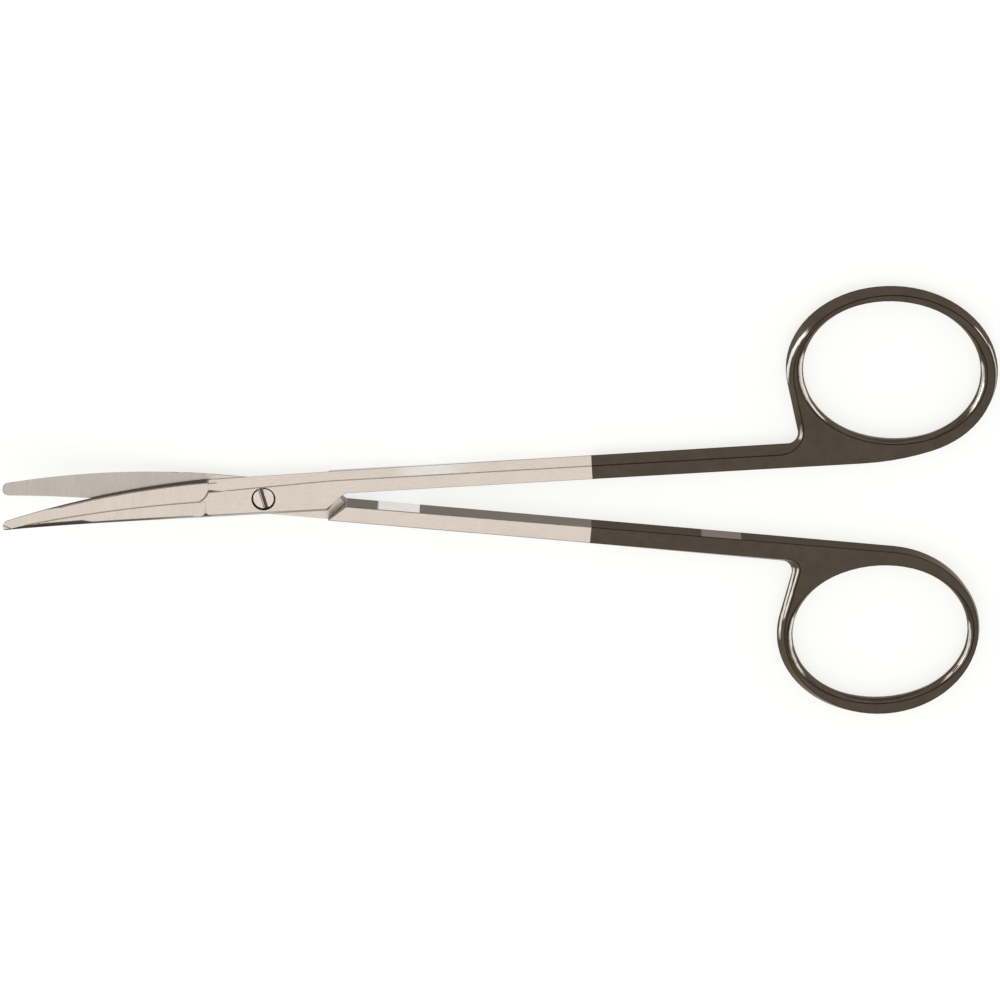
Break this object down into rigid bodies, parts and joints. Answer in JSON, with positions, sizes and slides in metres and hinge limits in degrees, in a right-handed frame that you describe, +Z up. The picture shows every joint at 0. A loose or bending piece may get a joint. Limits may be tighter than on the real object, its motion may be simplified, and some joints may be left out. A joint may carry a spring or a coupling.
{
  "type": "surgical scissors",
  "caption": "Curved surgical scissors: two crossed steel halves with long handles and oval finger rings, turning on a slotted screw.",
  "frame": {"origin": "on the pivot's axis, at the underside of the joint, on which the scissors lie", "axes": "+X from the blades towards the finger rings, +Y towards the front half's ring, +Z up along the pivot's axis, the way the blades curve"},
  "size_m": [0.1516, 0.0704, 0.0103],
  "materials": {
    "front_steel": "satin steel, dark coat on the handle and ring",
    "rear_steel": "satin steel, dark coat on the handle and ring",
    "screw_steel": "satin steel"
  },
  "bodies": {
    "rear": {"rear_half": "rear_steel", "pivot_screw": "screw_steel"},
    "front": {"front_half": "front_steel"}
  },
  "joints": [
    {"name": "pivot", "type": "hinge", "parent": "rear", "child": "front", "pos_m": [0, 0, 0], "axis": [0, 0, 1], "range_deg": [-8.6, 81.4]}
  ]
}
